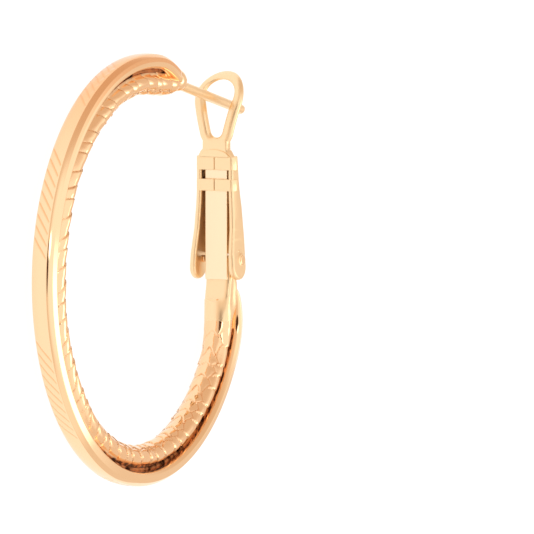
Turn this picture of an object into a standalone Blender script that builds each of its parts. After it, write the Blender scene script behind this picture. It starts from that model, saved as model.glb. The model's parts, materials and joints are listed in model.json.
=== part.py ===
"""A hoop earring with a clip-lever back, lying on its side, at its real size.

The hoop's own axis is +Z. Worn, +X is the back of the ear, where the clip is,
and +Y is up, where the post is. Angles round the hoop run from +X towards +Y.
Shapes are modelled in millimetres about the hoop's centre, or about the hinge
axis for the pieces of the clip, and become metres when they become objects.
"""

import math

import bmesh
import bpy
from mathutils import Matrix, Vector

MM = 0.001

# Outer ring
RING_OUTER_RADIUS = 20.0
RING_THICKNESS = 1.5
RING_WIDTH = 2.5
RING_SQUARENESS = 2.3
RING_SECTION_SIDES = 16
RING_START_DEG = 68.5
RING_END_DEG = 353.0
RING_TOP_TUCK = 1.0
RING_TOP_TUCK_DEG = 15.0
RING_BACK_TUCK = 2.7
RING_BACK_TUCK_DEG = 24.0
RING_STEP_DEG = 3.75

# Flutes cut slantwise across the crown of the ring, in patches: (first angle, how many)
FLUTE_PATCHES = (
    (106.0, 7),
    (145.5, 9),
    (199.0, 9),
    (249.0, 9),
    (297.0, 9),
)
FLUTE_PITCH_DEG = 3.2
FLUTE_DEPTH = 0.13
FLUTE_SLANT_DEG = 45.0
FLUTE_REACH_DEG = 45.0
SHEAR_FADE_DEG = 10.0

# Scaled inner strand
STRAND_GAP = 0.12
STRAND_THICKNESS = 2.25
STRAND_WIDTH = 2.7
STRAND_SHIFT = -0.25
STRAND_START_DEG = 68.5
STRAND_END_DEG = 346.0
STRAND_TOP_TUCK = 0.8
STRAND_BACK_TUCK = 1.1
STRAND_BACK_TUCK_DEG = 22.0
STRAND_SECTION_SIDES = 12
SCALE_PITCH_DEG = 5.2
SCALE_FIRST_DEG = 74.0
SCALE_COUNT = 51
SCALE_STEPS = 4
SCALE_COLUMN_DEG = 60.0
SCALE_HIDDEN_DEG = 50.0
SCALE_RISE = 0.17
SCALE_SEAM = 0.10
SCALE_SEAM_SHARE = 0.1

# Rounded ends of both tubes
END_ROUND = 1.4
END_CLOSED_SHARE = 0.45

# Ear post and the solder that holds it
POST_DIAMETER = 0.92
POST_ROOT = 6.5
POST_REACH = 11.9
POST_SLOPE_DEG = 13.5
POST_EXIT_DEG = 63.5
POST_TIP_BEVEL = 0.16
POST_SIDES = 14
SOLDER_ANGLE_DEG = 69.0
SOLDER_LENGTH = 2.7
SOLDER_HEIGHT = 2.1
SOLDER_WIDTH = 2.0
SOLDER_SIDES = 12
SOLDER_ROWS = 8

# Hinge base: a bar that carries on from the back end of the hoop, bored for the pin
HINGE_INSET = 1.75
HINGE_HEIGHT = 0.0
BASE_WIDTH = 2.8
BASE_HEAD_RADIUS = 0.49
BASE_BEVEL = 0.15
BASE_HEAD_STEPS = 8
BASE_LENGTH = 4.8
BASE_FORWARD = 0.8
BASE_BACKWARD = 1.4
# Outline of the bar below its head, as shares of how far it reaches and of its length
BASE_STRAIGHT_SHARE = 0.44
BASE_FRONT = (1.0, 0.73)
BASE_BACK = ((0.07, 1.0), (1.0, 0.92), (0.93, 0.46), (0.57, 0.21))
PIN_DIAMETER = 0.40
PIN_CLEARANCE = 0.06
PIN_HEAD_DIAMETER = 0.95
PIN_HEAD_HEIGHT = 0.12
PIN_HEAD_FLAT_SHARE = 0.7
PIN_SIDES = 14

# Clip lever: housing
HOUSING_WIDTH = 3.8
HOUSING_EYE_WIDTH = 4.6
SHEET = 0.5
BACK_PLATE = 0.3
EYE_RADIUS = 1.3
EYE_FORWARD = 0.4
EYE_DROP = 0.55
EYE_STEPS = 10
HOUSING_TOP_DEPTH = 1.15
BACK_OPEN_HEIGHT = 1.0
HOUSING_BEVEL = 0.15
# Side outline between the eye and the top: height, front and back, as shares
HOUSING_OUTLINE = (
    (0.05, 0.98, 1.00),
    (0.19, 0.55, 1.00),
    (0.29, 0.20, 0.95),
    (0.50, 0.00, 0.80),
    (0.76, 0.00, 0.33),
    (1.00, 0.00, 0.00),
)
SPLAY_SHARE = 0.64
TAB_THICKNESS = 0.3
TAB_PROUD = 0.03
TAB_SEAM = 0.10
UPPER_TAB_DROP = 0.35
UPPER_TAB_HEIGHT = 1.28
TAB_SPACING = 0.83
LOWER_TAB_HEIGHT = 1.12
TAB_BEVEL = 0.08

# Clip lever: stem and loop
STEM_BELOW_TOP = 0.4
STEM_WIDTH = 2.6
STEM_THICKNESS = 0.9
STEM_LAP = 0.06
LOOP_WIRE_WIDTH = 1.1
LOOP_WIRE_THICKNESS = 0.85
LOOP_WIDTH = 4.65
LOOP_TOP_RISE = 5.5
LOOP_FOOT_RISE = 2.45
LOOP_FOOT_RADIUS = 1.2
LOOP_SWEEP = 2.0
LOOP_ARC_STEPS = 7
LOOP_ABOVE_POST = 0.2

# Clip spring
SPRING_THICKNESS = 0.18
SPRING_WIDTH = 2.3
SPRING_GAP = 0.08
SPRING_TOP_DROP = 0.6
SPRING_TAIL = 1.85
SPRING_BEVEL = 0.05

# Worked out from the sizes above
RING_RADIUS = RING_OUTER_RADIUS - RING_THICKNESS / 2
STRAND_OUTER_RADIUS = RING_OUTER_RADIUS - RING_THICKNESS - STRAND_GAP
STRAND_RADIUS = STRAND_OUTER_RADIUS - STRAND_THICKNESS / 2
POST_RADIUS_LINE = STRAND_OUTER_RADIUS + STRAND_GAP / 2
POST_EXIT = Vector((
    POST_RADIUS_LINE * math.cos(math.radians(POST_EXIT_DEG)),
    POST_RADIUS_LINE * math.sin(math.radians(POST_EXIT_DEG)),
    0.0,
))
POST_DIRECTION = Vector((
    math.cos(math.radians(POST_SLOPE_DEG)),
    -math.sin(math.radians(POST_SLOPE_DEG)),
    0.0,
))
POST_TIP = POST_EXIT + POST_DIRECTION * POST_REACH
HINGE = Vector((STRAND_RADIUS - HINGE_INSET, HINGE_HEIGHT, 0.0))
BORE_RADIUS = PIN_DIAMETER / 2 + PIN_CLEARANCE
SPRING_REAR = -(BASE_HEAD_RADIUS + SPRING_GAP)
SPRING_FRONT = SPRING_REAR - SPRING_THICKNESS
TAB_BACK = SPRING_FRONT - SPRING_GAP
HOUSING_FRONT = TAB_BACK - TAB_THICKNESS
HOUSING_REAR = HOUSING_FRONT + HOUSING_TOP_DEPTH
STEM_CENTRE = HOUSING_REAR - BACK_PLATE + STEM_LAP - STEM_THICKNESS / 2
LOOP_HEIGHT = LOOP_TOP_RISE + LOOP_WIDTH / 2
POST_TO_STEM = HINGE.x + STEM_CENTRE - POST_EXIT.x
POST_HEIGHT_AT_STEM = POST_EXIT.y - POST_TO_STEM * math.tan(math.radians(POST_SLOPE_DEG))
STEM_FOOT_HEIGHT = POST_HEIGHT_AT_STEM + LOOP_ABOVE_POST - LOOP_TOP_RISE - HINGE.y
HOUSING_HEIGHT = STEM_FOOT_HEIGHT + STEM_BELOW_TOP
CHANNEL_HALF_WIDTH = HOUSING_WIDTH / 2 - SHEET
PIN_SEAT = HOUSING_EYE_WIDTH / 2 + PIN_CLEARANCE

# The earring lies on the widest side of its clip, centred over the origin
LYING_HEIGHT = max(LOOP_WIDTH / 2, PIN_SEAT + PIN_HEAD_HEIGHT)
MIDDLE_X = (POST_TIP.x - RING_OUTER_RADIUS) / 2


def gold(name, colour, roughness):
    """A plated metal finish."""
    material = bpy.data.materials.new(name)
    material.use_nodes = True
    shader = material.node_tree.nodes["Principled BSDF"]
    shader.inputs["Base Color"].default_value = (*colour, 1.0)
    shader.inputs["Metallic"].default_value = 1.0
    shader.inputs["Roughness"].default_value = roughness
    return material


def empty(name, parent, place):
    """A marker that other objects are placed by."""
    marker = bpy.data.objects.new(name, None)
    marker.parent = parent
    marker.location = place * MM
    bpy.context.scene.collection.objects.link(marker)
    return marker


def loose_object(name, bm):
    """A mesh object that is still in millimetres."""
    bmesh.ops.recalc_face_normals(bm, faces=bm.faces[:])
    mesh = bpy.data.meshes.new(name)
    bm.to_mesh(mesh)
    bm.free()
    thing = bpy.data.objects.new(name, mesh)
    bpy.context.scene.collection.objects.link(thing)
    return thing


def combine(body, others, operation):
    """Union or cut the body with each of the others, which are used up."""
    for other in others:
        step = body.modifiers.new("combine", "BOOLEAN")
        step.operation = operation
        step.solver = "EXACT"
        step.object = other
    graph = bpy.context.evaluated_depsgraph_get()
    mesh = bpy.data.meshes.new_from_object(body.evaluated_get(graph))
    body.modifiers.clear()
    body.data = mesh
    for other in others:
        bpy.data.objects.remove(other)
    return body


def finish(thing, parent, material, sharp_deg=35.0):
    """Turn millimetres into metres, then parent, colour and shade the object."""
    thing.data.transform(Matrix.Scale(MM, 4))
    thing.data.materials.clear()
    thing.data.materials.append(material)
    thing.data.shade_smooth()
    thing.data.set_sharp_from_angle(angle=math.radians(sharp_deg))
    thing.parent = parent
    return thing


def plate(name, outline, half_width, bevel, centre_z=0.0):
    """A closed outline in X and Y, extruded along Z, with its rims bevelled."""
    bm = bmesh.new()
    corners = [bm.verts.new((x, y, centre_z - half_width)) for x, y in outline]
    face = bm.faces.new(corners)
    grown = bmesh.ops.extrude_face_region(bm, geom=[face])["geom"]
    moved = [item for item in grown if isinstance(item, bmesh.types.BMVert)]
    bmesh.ops.translate(bm, verts=moved, vec=(0.0, 0.0, 2 * half_width))
    if bevel:
        rims = [edge for edge in bm.edges if abs(edge.verts[0].co.z - edge.verts[1].co.z) < half_width]
        bmesh.ops.bevel(bm, geom=rims, offset=bevel, segments=1, profile=0.5, affect="EDGES")
    return loose_object(name, bm)


def block(name, size, centre, bevel):
    """A box with every edge bevelled."""
    bm = bmesh.new()
    bmesh.ops.create_cube(bm, size=1.0)
    bmesh.ops.scale(bm, verts=bm.verts[:], vec=size)
    bmesh.ops.bevel(bm, geom=bm.edges[:], offset=bevel, segments=1, profile=0.5, affect="EDGES")
    bmesh.ops.translate(bm, verts=bm.verts[:], vec=centre)
    return loose_object(name, bm)


def rod(name, diameter, length, middle, direction, sides, bevel=0.0):
    """A straight round rod along a direction."""
    bm = bmesh.new()
    bmesh.ops.create_cone(
        bm, cap_ends=True, segments=sides, radius1=diameter / 2, radius2=diameter / 2, depth=length
    )
    if bevel:
        rim = [edge for edge in bm.edges if min(vert.co.z for vert in edge.verts) > 0]
        bmesh.ops.bevel(bm, geom=rim, offset=bevel, segments=2, profile=0.5, affect="EDGES")
    turn = Vector(direction).to_track_quat("Z", "Y").to_matrix().to_4x4()
    bmesh.ops.transform(bm, matrix=Matrix.Translation(middle) @ turn, verts=bm.verts[:])
    return loose_object(name, bm)


def bent_tube(name, sides, stations, shape):
    """A capped tube: a unit circle carried through the stations, then shaped.

    The tube is first made straight, its height being the angle round the hoop.
    The function shape then gives each point's place from the station number,
    that angle, and the point's direction on the unit circle.
    """
    bm = bmesh.new()
    start = bmesh.ops.create_circle(bm, segments=sides, radius=1.0, cap_ends=False)["verts"]
    bmesh.ops.translate(bm, verts=start, vec=(0.0, 0.0, stations[0]))
    rings = [start]
    edges = bm.edges[:]
    for before, after in zip(stations, stations[1:]):
        grown = bmesh.ops.extrude_edge_only(bm, edges=edges)["geom"]
        verts = [item for item in grown if isinstance(item, bmesh.types.BMVert)]
        edges = [item for item in grown if isinstance(item, bmesh.types.BMEdge)]
        bmesh.ops.translate(bm, verts=verts, vec=(0.0, 0.0, after - before))
        rings.append(verts)
    bmesh.ops.holes_fill(bm, edges=[edge for edge in bm.edges if edge.is_boundary], sides=sides)
    for number, ring in enumerate(rings):
        for vert in ring:
            vert.co = shape(number, stations[number], math.atan2(vert.co.y, vert.co.x))
    return loose_object(name, bm)


def on_hoop(radius, angle_deg, z):
    """A point at a distance from the hoop's axis and an angle round it."""
    angle = math.radians(angle_deg)
    return Vector((radius * math.cos(angle), radius * math.sin(angle), z))


def rounding(distance):
    """How full a tube is at a distance from its rounded end, from 0 to 1."""
    share = min(1.0, max(0.0, distance / END_ROUND))
    return END_CLOSED_SHARE + (1.0 - END_CLOSED_SHARE) * math.sqrt(1.0 - (1.0 - share) ** 2)


def fullness(angle_deg, start_deg, end_deg, radius):
    """The rounding of a tube at an angle, from the nearer of its two ends."""
    nearer = math.radians(min(angle_deg - start_deg, end_deg - angle_deg))
    return rounding(nearer * radius)


def squared(direction):
    """A point on a circle pushed out towards a rounded rectangle."""
    power = 2.0 / RING_SQUARENESS
    x = math.copysign(abs(math.cos(direction)) ** power, math.cos(direction))
    y = math.copysign(abs(math.sin(direction)) ** power, math.sin(direction))
    return x, y


def plain_run(from_deg, to_deg):
    """Even steps from one angle to another, without the first angle."""
    steps = max(1, round((to_deg - from_deg) / RING_STEP_DEG))
    return [from_deg + (to_deg - from_deg) * step / steps for step in range(1, steps + 1)]


def rounded_start(start_deg, radius):
    """Three angles over which a tube's end grows to its full section."""
    round_deg = math.degrees(END_ROUND / radius)
    return [start_deg, start_deg + round_deg / 3, start_deg + round_deg]


def ring_stations():
    """Angles where the ring has a section, and which of them lie in a flute."""
    stations = rounded_start(RING_START_DEG, RING_RADIUS)
    round_deg = stations[-1] - RING_START_DEG
    valleys = set()
    for first_deg, count in FLUTE_PATCHES:
        stations += plain_run(stations[-1], first_deg)
        for flute in range(count):
            stations.append(first_deg + FLUTE_PITCH_DEG * (flute + 0.5))
            valleys.add(len(stations) - 1)
            stations.append(first_deg + FLUTE_PITCH_DEG * (flute + 1))
    stations += plain_run(stations[-1], RING_END_DEG - round_deg)
    stations += [RING_END_DEG - round_deg / 3, RING_END_DEG]
    return stations, valleys


def ring_centre_radius(angle_deg):
    """The ring's centre line, tucked inwards at both ends."""
    top = max(0.0, 1.0 - (angle_deg - RING_START_DEG) / RING_TOP_TUCK_DEG)
    back = max(0.0, 1.0 - (RING_END_DEG - angle_deg) / RING_BACK_TUCK_DEG)
    return RING_RADIUS - RING_TOP_TUCK * top**2 - RING_BACK_TUCK * back**3


def outer_ring():
    """The smooth oval ring, its section lines slanted along the flutes."""
    stations, valleys = ring_stations()
    slant = math.tan(math.radians(FLUTE_SLANT_DEG))

    def shape(number, angle_deg, direction):
        out, side = squared(direction)
        full = fullness(angle_deg, RING_START_DEG, RING_END_DEG, RING_RADIUS)
        z = side * full * RING_WIDTH / 2
        rise = out * full * RING_THICKNESS / 2
        if number in valleys:
            reach = math.degrees(abs(direction)) / FLUTE_REACH_DEG
            rise -= FLUTE_DEPTH * max(0.0, 1.0 - reach**2)
        to_end = min(angle_deg - RING_START_DEG, RING_END_DEG - angle_deg)
        shear = min(1.0, to_end / SHEAR_FADE_DEG) * math.degrees(z * slant / RING_OUTER_RADIUS)
        return on_hoop(ring_centre_radius(angle_deg) + rise, angle_deg + shear, z)

    return bent_tube("outer_ring", RING_SECTION_SIDES, stations, shape)


def scale_relief(step, direction):
    """How far a scale stands off the strand: staggered columns of raised edges."""
    if math.degrees(abs(direction)) < SCALE_HIDDEN_DEG:
        return SCALE_RISE
    column_place = math.degrees(direction) / SCALE_COLUMN_DEG
    column = math.floor(column_place + 0.5)
    from_column_middle = 2.0 * abs(column_place - column)
    phase = (step + (column % 2) * SCALE_STEPS / 2) % SCALE_STEPS / SCALE_STEPS
    saw = (1.0 - phase) if phase else 0.0
    if from_column_middle > 1.0 - SCALE_SEAM_SHARE:
        return SCALE_RISE / 2 - SCALE_SEAM
    return SCALE_RISE * saw


def strand_centre_radius(angle_deg):
    """The strand's centre line, out towards the post and in towards the hinge."""
    top = max(0.0, 1.0 - (angle_deg - STRAND_START_DEG) / RING_TOP_TUCK_DEG)
    back = max(0.0, 1.0 - (STRAND_END_DEG - angle_deg) / STRAND_BACK_TUCK_DEG)
    return STRAND_RADIUS + STRAND_TOP_TUCK * top**2 - STRAND_BACK_TUCK * back**2


def scale_strand():
    """The inner strand with its scales, smooth near both ends."""
    step_deg = SCALE_PITCH_DEG / SCALE_STEPS
    scaled = [SCALE_FIRST_DEG + step_deg * step for step in range(SCALE_COUNT * SCALE_STEPS + 1)]
    before = rounded_start(STRAND_START_DEG, STRAND_RADIUS)
    stations = before + scaled + plain_run(scaled[-1], STRAND_END_DEG)
    lead = len(before)
    hidden_end_deg = STRAND_END_DEG + before[-1] - STRAND_START_DEG

    def shape(number, angle_deg, direction):
        full = fullness(angle_deg, STRAND_START_DEG, hidden_end_deg, STRAND_RADIUS)
        relief = 0.0
        if lead <= number < lead + len(scaled):
            relief = scale_relief(number - lead, direction)
        out = math.cos(direction)
        side = math.sin(direction)
        z = STRAND_SHIFT + side * (full * STRAND_WIDTH / 2 - SCALE_RISE + relief)
        rise = out * (full * STRAND_THICKNESS / 2 - SCALE_RISE + relief)
        return on_hoop(strand_centre_radius(angle_deg) + rise, angle_deg, z)

    return bent_tube("scale_strand", STRAND_SECTION_SIDES, stations, shape)


def solder_bead():
    """The rounded solder that closes the top end round the post."""
    bm = bmesh.new()
    bmesh.ops.create_uvsphere(bm, u_segments=SOLDER_SIDES, v_segments=SOLDER_ROWS, radius=0.5)
    bmesh.ops.scale(bm, verts=bm.verts[:], vec=(SOLDER_HEIGHT, SOLDER_LENGTH, SOLDER_WIDTH))
    turn = Matrix.Rotation(math.radians(SOLDER_ANGLE_DEG), 4, "Z")
    place = Matrix.Translation(on_hoop(POST_RADIUS_LINE, SOLDER_ANGLE_DEG, 0.0))
    bmesh.ops.transform(bm, matrix=place @ turn, verts=bm.verts[:])
    return loose_object("solder_bead", bm)


def ear_post():
    """The straight post, from inside the solder to its tip behind the clip."""
    length = POST_ROOT + POST_REACH
    middle = POST_TIP - POST_DIRECTION * length / 2
    return rod("ear_post", POST_DIAMETER, length, middle, POST_DIRECTION, POST_SIDES, POST_TIP_BEVEL)


def base_outline():
    """The hinge base from the side: a round head on a bar that runs into the hoop."""
    outline = []
    for step in range(BASE_HEAD_STEPS + 1):
        angle = math.pi * step / BASE_HEAD_STEPS
        outline.append((BASE_HEAD_RADIUS * math.cos(angle), BASE_HEAD_RADIUS * math.sin(angle)))
    outline.append((-BASE_HEAD_RADIUS, -BASE_LENGTH * BASE_STRAIGHT_SHARE))
    outline.append((-BASE_FORWARD * BASE_FRONT[0], -BASE_LENGTH * BASE_FRONT[1]))
    outline += [(BASE_BACKWARD * back, -BASE_LENGTH * drop) for back, drop in BASE_BACK]
    return [(HINGE.x + back, HINGE.y + height) for back, height in outline]


def build_hoop(origin, material):
    """Ring, strand, solder, post and hinge base, soldered into one solid."""
    base = plate("hinge_base", base_outline(), BASE_WIDTH / 2, BASE_BEVEL)
    bore = rod("bore", 2 * BORE_RADIUS, 2 * BASE_WIDTH, HINGE, (0, 0, 1), PIN_SIDES)
    combine(base, [bore], "DIFFERENCE")
    hoop = outer_ring()
    hoop.name = "hoop"
    combine(hoop, [scale_strand(), solder_bead(), ear_post(), base], "UNION")
    return finish(hoop, origin, material)


def housing_point(height_share, front_share, back_share):
    """The front and back of the housing at a height, from the outline's shares."""
    eye_front = -EYE_FORWARD - EYE_RADIUS
    eye_back = -EYE_FORWARD + EYE_RADIUS
    front = HOUSING_FRONT + (eye_front - HOUSING_FRONT) * front_share
    back = HOUSING_REAR + (eye_back - HOUSING_REAR) * back_share
    return front, back, HOUSING_HEIGHT * height_share


def housing_outline():
    """The teardrop side outline, anticlockwise from the back of the eye."""
    rows = [housing_point(*row) for row in HOUSING_OUTLINE]
    outline = [(back, height) for _, back, height in rows]
    outline += [(front, height) for front, _, height in reversed(rows)]
    for step in range(EYE_STEPS + 1):
        angle = math.pi * (1 + step / EYE_STEPS)
        outline.append((EYE_RADIUS * math.cos(angle) - EYE_FORWARD, EYE_RADIUS * math.sin(angle) - EYE_DROP))
    return outline


def channel_outline():
    """What the channel removes: all in front of the back plate, and all below it."""
    beyond = 3 * EYE_RADIUS
    rows = [housing_point(*row) for row in HOUSING_OUTLINE]
    outline = [(-beyond, -beyond), (beyond, -beyond), (beyond, BACK_OPEN_HEIGHT)]
    lowest_back = rows[0][1]
    outline.append((lowest_back - BACK_PLATE, BACK_OPEN_HEIGHT))
    outline += [(back - BACK_PLATE, height) for _, back, height in rows if height > BACK_OPEN_HEIGHT]
    outline.append((HOUSING_REAR - BACK_PLATE, HOUSING_HEIGHT + beyond))
    outline.append((-beyond, HOUSING_HEIGHT + beyond))
    return outline


def tab_pair(top_height, height):
    """Two tabs folded in from the cheeks to a seam in the middle of the front."""
    reach = HOUSING_WIDTH / 2 + TAB_PROUD - TAB_SEAM / 2
    tabs = []
    for side in (-1, 1):
        centre = Vector((
            TAB_BACK - (TAB_THICKNESS + TAB_PROUD) / 2,
            top_height - height / 2,
            side * (TAB_SEAM / 2 + reach / 2),
        ))
        tabs.append(block("tab", (TAB_THICKNESS + TAB_PROUD, height, reach), centre, TAB_BEVEL))
    return tabs


def swept(point):
    """A point of the loop, swept back more and more towards the loop's top."""
    rise = max(0.0, point.y) / LOOP_HEIGHT
    return Vector((STEM_CENTRE + point.x + LOOP_SWEEP * rise**3, STEM_FOOT_HEIGHT + point.y, point.z))


def pear_loop():
    """The wire loop: two arcs joined by straight sides, flattened a little."""
    top_radius = (LOOP_WIDTH - LOOP_WIRE_WIDTH) / 2
    side_angle = math.asin((top_radius - LOOP_FOOT_RADIUS) / (LOOP_TOP_RISE - LOOP_FOOT_RISE))
    points = []
    for step in range(LOOP_ARC_STEPS * 2 + 1):
        angle = -side_angle + (math.pi + 2 * side_angle) * step / (LOOP_ARC_STEPS * 2)
        points.append((top_radius * math.cos(angle), LOOP_TOP_RISE + top_radius * math.sin(angle)))
    for step in range(LOOP_ARC_STEPS + 1):
        angle = math.pi + side_angle + (math.pi - 2 * side_angle) * step / LOOP_ARC_STEPS
        across = LOOP_FOOT_RADIUS * math.cos(angle)
        points.append((across, LOOP_FOOT_RISE + LOOP_FOOT_RADIUS * math.sin(angle)))
    curve = bpy.data.curves.new("pear_loop", "CURVE")
    curve.dimensions = "3D"
    curve.bevel_depth = LOOP_WIRE_WIDTH / 2
    curve.bevel_resolution = 3
    spline = curve.splines.new("POLY")
    spline.points.add(len(points) - 1)
    for point, (across, up) in zip(spline.points, points):
        point.co = (0.0, up, across, 1.0)
    spline.use_cyclic_u = True
    wire = bpy.data.objects.new("pear_loop_wire", curve)
    bpy.context.scene.collection.objects.link(wire)
    graph = bpy.context.evaluated_depsgraph_get()
    mesh = bpy.data.meshes.new_from_object(wire.evaluated_get(graph))
    bpy.data.objects.remove(wire)
    mesh.transform(Matrix.Diagonal((LOOP_WIRE_THICKNESS / LOOP_WIRE_WIDTH, 1.0, 1.0, 1.0)))
    for vert in mesh.vertices:
        vert.co = swept(vert.co)
    loop = bpy.data.objects.new("pear_loop", mesh)
    bpy.context.scene.collection.objects.link(loop)
    return loop


def stem_plate():
    """The flat stem between the housing and the loop."""
    length = LOOP_FOOT_RISE - LOOP_FOOT_RADIUS + LOOP_WIRE_WIDTH / 4
    centre = Vector((STEM_CENTRE, STEM_FOOT_HEIGHT + length / 2, 0.0))
    return block("stem_plate", (STEM_THICKNESS, length, STEM_WIDTH), centre, TAB_BEVEL)


def splay(thing):
    """Widen the lower part of the housing evenly, down to the eye's full width."""
    bm = bmesh.new()
    bm.from_mesh(thing.data)
    bend = HOUSING_HEIGHT * SPLAY_SHARE
    bmesh.ops.bisect_plane(
        bm, geom=bm.verts[:] + bm.edges[:] + bm.faces[:], plane_co=(0, bend, 0), plane_no=(0, 1, 0), dist=MM
    )
    for vert in bm.verts:
        share = max(0.0, bend - vert.co.y) / bend
        vert.co.z *= 1.0 + (HOUSING_EYE_WIDTH / HOUSING_WIDTH - 1.0) * share
    bm.to_mesh(thing.data)
    bm.free()
    return thing


def build_lever(axis, material):
    """Housing, tabs, stem and loop as one solid, bored for the pin."""
    lever = plate("clip_lever", housing_outline(), HOUSING_WIDTH / 2, HOUSING_BEVEL)
    channel = plate("channel", channel_outline(), CHANNEL_HALF_WIDTH, 0.0)
    combine(lever, [channel], "DIFFERENCE")
    splay(lever)
    bore = rod("bore", 2 * BORE_RADIUS, 2 * HOUSING_EYE_WIDTH, (0, 0, 0), (0, 0, 1), PIN_SIDES)
    combine(lever, [bore], "DIFFERENCE")
    upper_top = HOUSING_HEIGHT - UPPER_TAB_DROP
    lower_top = upper_top - UPPER_TAB_HEIGHT - TAB_SPACING
    tabs = tab_pair(upper_top, UPPER_TAB_HEIGHT) + tab_pair(lower_top, LOWER_TAB_HEIGHT)
    combine(lever, [*tabs, stem_plate(), pear_loop()], "UNION")
    return finish(lever, axis, material)


def build_spring(axis, material):
    """The flat leaf behind the tabs and in front of the hinge base."""
    top = HOUSING_HEIGHT - SPRING_TOP_DROP
    length = top + SPRING_TAIL
    centre = Vector(((SPRING_FRONT + SPRING_REAR) / 2, top - length / 2, 0.0))
    leaf = block("clip_spring", (SPRING_THICKNESS, length, SPRING_WIDTH), centre, SPRING_BEVEL)
    return finish(leaf, axis, material)


def build_pin(axis, material):
    """The rivet: a shank with a low head outside each cheek."""
    shank = PIN_DIAMETER / 2
    head = PIN_HEAD_DIAMETER / 2
    top = PIN_SEAT + PIN_HEAD_HEIGHT
    flat = head * PIN_HEAD_FLAT_SHARE
    half = [(shank, PIN_SEAT), (head, PIN_SEAT), (head, top - PIN_HEAD_HEIGHT / 2), (flat, top), (0.0, top)]
    profile = [(radius, -height) for radius, height in reversed(half)] + half
    bm = bmesh.new()
    verts = [bm.verts.new((radius, 0.0, height)) for radius, height in profile]
    edges = [bm.edges.new(pair) for pair in zip(verts, verts[1:])]
    around = {"cent": (0, 0, 0), "axis": (0, 0, 1), "angle": math.tau, "steps": PIN_SIDES}
    bmesh.ops.spin(bm, geom=verts + edges, use_merge=True, **around)
    bmesh.ops.remove_doubles(bm, verts=bm.verts[:], dist=MM)
    return finish(loose_object("hinge_pin", bm), axis, material)


def main():
    """Build the four pieces of the earring on their two markers."""
    for old in list(bpy.data.objects):
        bpy.data.objects.remove(old)
    origin = empty("earring_origin", None, Vector((-MIDDLE_X, 0.0, LYING_HEIGHT)))
    axis = empty("clip_axis", origin, HINGE)
    build_hoop(origin, gold("hoop_gold", (0.93, 0.66, 0.38), 0.16))
    build_lever(axis, gold("clip_gold", (0.95, 0.70, 0.42), 0.22))
    build_spring(axis, gold("spring_gold", (0.96, 0.74, 0.48), 0.24))
    build_pin(axis, gold("pin_gold", (0.93, 0.66, 0.38), 0.2))


main()
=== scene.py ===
"""Looks of a hinged hoop earring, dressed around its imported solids.

Pieces are modelled in millimetres about the hoop's centre, or about the hinge
axis for those of the clip. Angles round the hoop run from +X towards +Y. Each
finished mesh is then placed in metres, where the solids lie.
"""

import json
import logging
import math
from collections.abc import Callable, Iterable, Sequence
from dataclasses import dataclass
from enum import Enum

import bmesh
import bpy
from mathutils import Matrix, Vector


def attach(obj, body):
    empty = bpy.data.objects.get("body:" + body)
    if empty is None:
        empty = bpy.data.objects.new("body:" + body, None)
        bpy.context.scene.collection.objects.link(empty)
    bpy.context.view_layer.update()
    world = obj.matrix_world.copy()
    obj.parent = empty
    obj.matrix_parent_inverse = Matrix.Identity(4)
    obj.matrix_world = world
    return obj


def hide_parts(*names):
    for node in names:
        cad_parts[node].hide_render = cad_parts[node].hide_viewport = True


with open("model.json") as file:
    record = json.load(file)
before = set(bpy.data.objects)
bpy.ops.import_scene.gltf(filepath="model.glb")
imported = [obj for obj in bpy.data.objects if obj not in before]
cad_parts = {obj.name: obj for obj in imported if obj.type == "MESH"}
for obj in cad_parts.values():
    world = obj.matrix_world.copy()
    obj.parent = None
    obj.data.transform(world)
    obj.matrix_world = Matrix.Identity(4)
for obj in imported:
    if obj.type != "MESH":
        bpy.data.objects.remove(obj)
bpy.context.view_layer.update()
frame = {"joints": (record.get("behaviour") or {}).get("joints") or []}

MM = 0.001
LOG = logging.getLogger("hoop_earring")

# Sockets of a Mix node when it mixes colours, and the middle of a noise value
MIX_SHARE, MIX_LOW, MIX_HIGH, MIX_RESULT = 0, 6, 7, 2
NOISE_MIDDLE = 0.5

# Only creases sharper than this stay sharp on melted shapes
MELTED_SHARP_DEG = 80.0


class Body(Enum):
    """The moving bodies that pieces ride on."""

    HOOP = "hoop"
    CLIP = "clip"


class Slot(Enum):
    """The record's finishes."""

    POLISHED = "polished_gold"
    CLIP = "clip_gold"
    SPRING = "spring_gold"


# Shader building


class Number:
    """A shader value on which ordinary sums can be written."""

    def __init__(self, tree: bpy.types.NodeTree, socket: bpy.types.NodeSocket) -> None:
        """Wrap an output socket of a node tree."""
        self.tree = tree
        self.socket = socket

    def _sum(self, operation: str, left: "Number | float", right: "Number | float") -> "Number":
        """Add a Math node.

        Args:
            operation: The Math node's operation.
            left: Its first value.
            right: Its second value.

        Returns:
            The node's result.
        """
        node = self.tree.nodes.new("ShaderNodeMath")
        node.operation = operation
        for place, value in enumerate((left, right)):
            if isinstance(value, Number):
                self.tree.links.new(value.socket, node.inputs[place])
            else:
                node.inputs[place].default_value = value
        return Number(self.tree, node.outputs[0])

    def __add__(self, other: "Number | float") -> "Number":
        """Sum with a value."""
        return self._sum("ADD", self, other)

    def __radd__(self, other: float) -> "Number":
        """Sum with a plain number on the left."""
        return self._sum("ADD", other, self)

    def __sub__(self, other: "Number | float") -> "Number":
        """Difference from a value."""
        return self._sum("SUBTRACT", self, other)

    def __mul__(self, other: "Number | float") -> "Number":
        """Product with a value."""
        return self._sum("MULTIPLY", self, other)


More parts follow.
